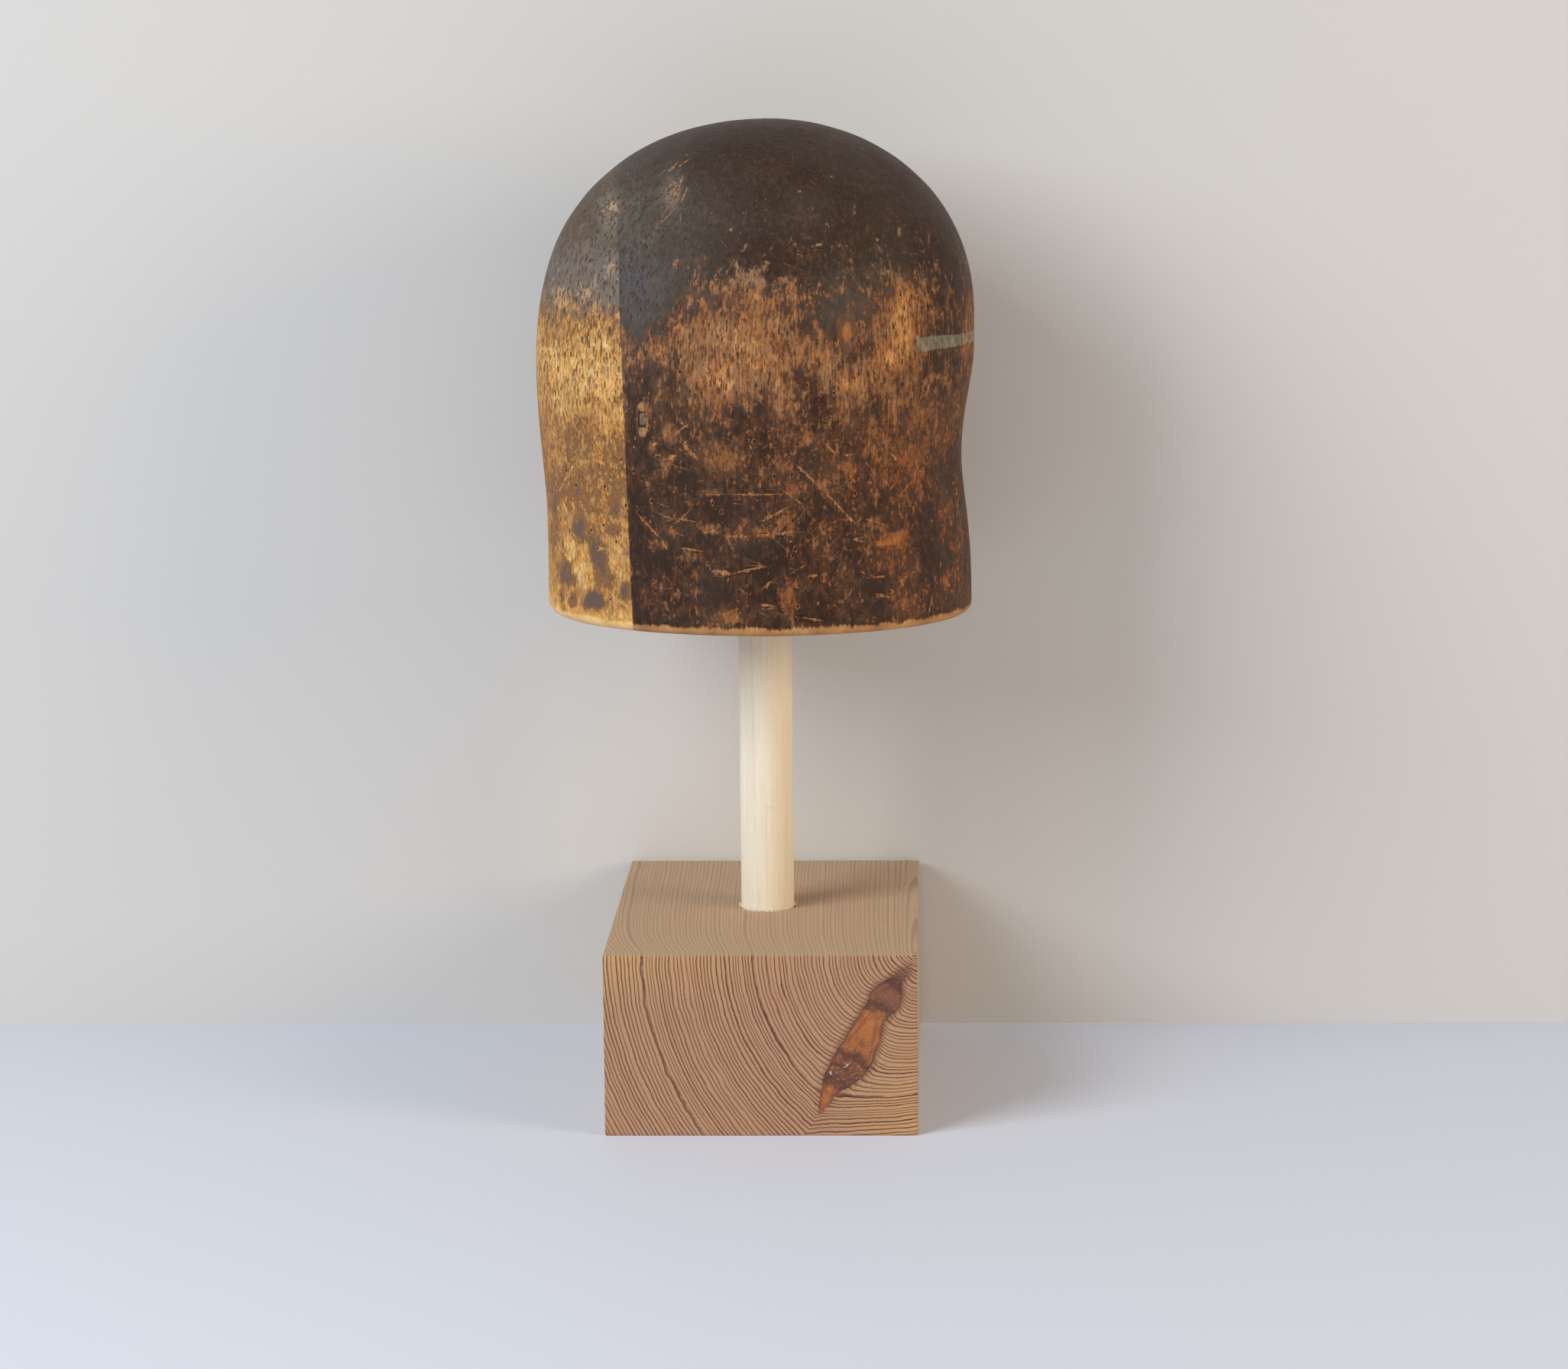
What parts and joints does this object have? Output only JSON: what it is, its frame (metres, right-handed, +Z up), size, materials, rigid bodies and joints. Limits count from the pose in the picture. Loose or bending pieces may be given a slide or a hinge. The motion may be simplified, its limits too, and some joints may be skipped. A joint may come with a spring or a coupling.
{
  "type": "wooden hat stand",
  "caption": "Free-standing wooden stand: a domed oval head glued up from upright boards, turning and lifting off on a round dowel post in a sawn block.",
  "frame": {"origin": "middle of the base block's underside, on the post's axis", "axes": "+Z up along the post, +X to the nape of the head, +Y to the back of the base block"},
  "size_m": [0.204, 0.21, 0.456],
  "materials": {
    "base_softwood": "bare sawn softwood, end grain on the front and back, tan",
    "post_dowel": "bare pale dowel, smooth, matt",
    "head_worn_pale": "pale wood with most of a dark finish worn off, open pores, matt",
    "head_dark_finish": "very dark brown finish, worn to orange-brown in a band, scratched, dull sheen",
    "old_iron": "dull grey iron, broken end"
  },
  "bodies": {
    "base": {"base_block": "base_softwood"},
    "post": {"post": "post_dowel"},
    "head": {"head_front_cheek": "head_worn_pale", "head_front_core": "head_dark_finish", "head_rear_core": "head_dark_finish", "head_nape_board": "head_dark_finish", "nail_stub": "old_iron"}
  },
  "joints": [
    {"name": "head_turn", "type": "hinge", "parent": "base", "child": "post", "pos_m": [0, 0, 0.084], "axis": [0, 0, 1], "continuous": true},
    {"name": "head_lift", "type": "slide", "parent": "post", "child": "head", "axis": [0, 0, 1], "range_m": [0, 0.075]}
  ]
}
